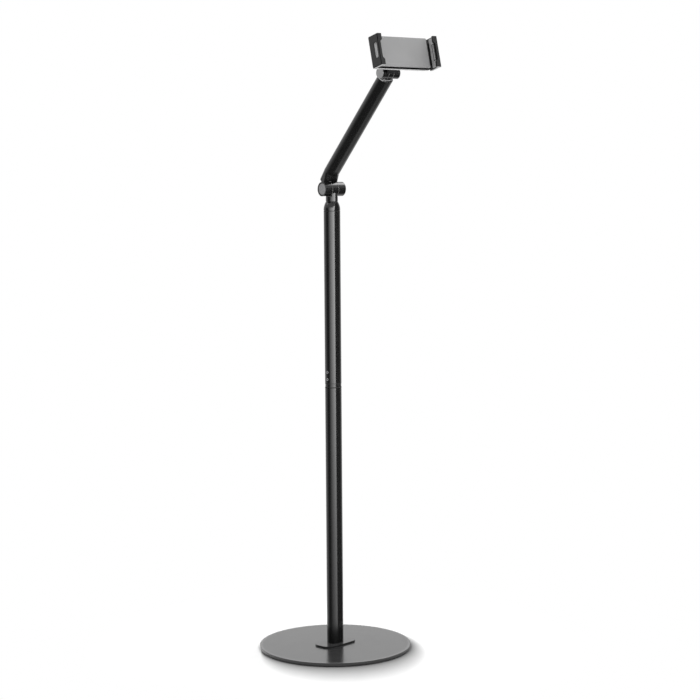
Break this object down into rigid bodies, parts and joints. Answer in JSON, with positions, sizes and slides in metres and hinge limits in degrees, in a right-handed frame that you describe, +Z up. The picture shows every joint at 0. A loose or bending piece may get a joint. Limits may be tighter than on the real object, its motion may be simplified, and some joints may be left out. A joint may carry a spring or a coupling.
{
  "type": "tablet floor stand",
  "caption": "Floor stand for a tablet: round weighted base, slim oval pole, hinged arm on a swivelling neck, and a tilting, turning holder with a sprung jaw.",
  "frame": {"origin": "on the floor under the middle of the base and the pole's axis", "axes": "+Z up along the pole; +X along the elbow and tilt axes; -Y towards the user"},
  "size_m": [0.29, 0.3817, 1.1511],
  "materials": {
    "floor_rubber": "matt black moulded rubber",
    "jaw_rubber": "matt grey moulded rubber",
    "base_paint": "satin black powder coat",
    "pole_paint": "satin black powder coat",
    "cast_paint": "satin black over a die casting",
    "cap_satin": "satin grey",
    "core_aluminium": "bare extrusion",
    "rail_black": "black anodised",
    "zinc_steel": "zinc plate",
    "bush_black": "black nylon",
    "nylon": "natural nylon",
    "face_satin": "satin grey anodised",
    "back_satin": "satin grey",
    "moulded_black": "fine moulded grain"
  },
  "bodies": {
    "stand": {"floor_pad": "floor_rubber", "base_plate": "base_paint", "base_screws": "zinc_steel", "pole_foot": "base_paint", "lower_pole": "pole_paint", "joint_collar": "pole_paint", "joint_core": "core_aluminium", "joint_screws": "zinc_steel", "upper_pole": "pole_paint", "pole_cap": "cast_paint", "swivel_bush": "bush_black"},
    "neck": {"swivel_post": "cast_paint", "swivel_washer": "zinc_steel", "swivel_nut": "zinc_steel"},
    "arm": {"elbow_fork": "cast_paint", "elbow_bolt": "zinc_steel", "elbow_nut": "zinc_steel", "elbow_washers": "nylon", "elbow_cap_left": "cap_satin", "elbow_cap_right": "cap_satin", "arm_tube": "pole_paint", "arm_tongue": "cast_paint", "arm_trim": "cap_satin"},
    "bracket": {"tilt_bracket": "cast_paint", "tilt_bolt": "zinc_steel", "tilt_nut": "zinc_steel", "tilt_washers": "nylon", "tilt_cap_left": "cap_satin", "tilt_cap_right": "cap_satin"},
    "holder": {"turn_bolt": "zinc_steel", "turn_washer": "nylon", "turn_nut": "zinc_steel", "back_cover": "back_satin", "back_screws": "zinc_steel", "slide_tray": "moulded_black", "face_plate": "face_satin", "left_jaw": "moulded_black", "left_jaw_pad": "jaw_rubber", "left_jaw_screws": "zinc_steel", "jaw_springs": "zinc_steel"},
    "slide": {"slide_rail": "rail_black", "right_jaw": "moulded_black", "right_jaw_pad": "jaw_rubber", "right_jaw_screws": "zinc_steel"}
  },
  "joints": [
    {"name": "neck_swivel", "type": "hinge", "parent": "stand", "child": "neck", "pos_m": [0, 0, 0.8786], "axis": [0, 0, 1], "continuous": true},
    {"name": "elbow", "type": "hinge", "parent": "neck", "child": "arm", "pos_m": [0, 0, 0.8786], "axis": [1, 0, 0], "range_deg": [-44.5, 99.5]},
    {"name": "head_tilt", "type": "hinge", "parent": "arm", "child": "bracket", "pos_m": [0, -0.17215, 1.08588], "axis": [-1, 0, 0], "range_deg": [-34, 76]},
    {"name": "holder_turn", "type": "hinge", "parent": "bracket", "child": "holder", "pos_m": [0, -0.21425, 1.11956], "axis": [0, -0.9703, 0.2419], "continuous": true},
    {"name": "jaw_slide", "type": "slide", "parent": "holder", "child": "slide", "axis": [1, 0, 0], "range_m": [0, 0.065], "stiffness_N_per_m": 120, "springref_m": -0.03, "deforming": ["jaw_springs"]}
  ]
}
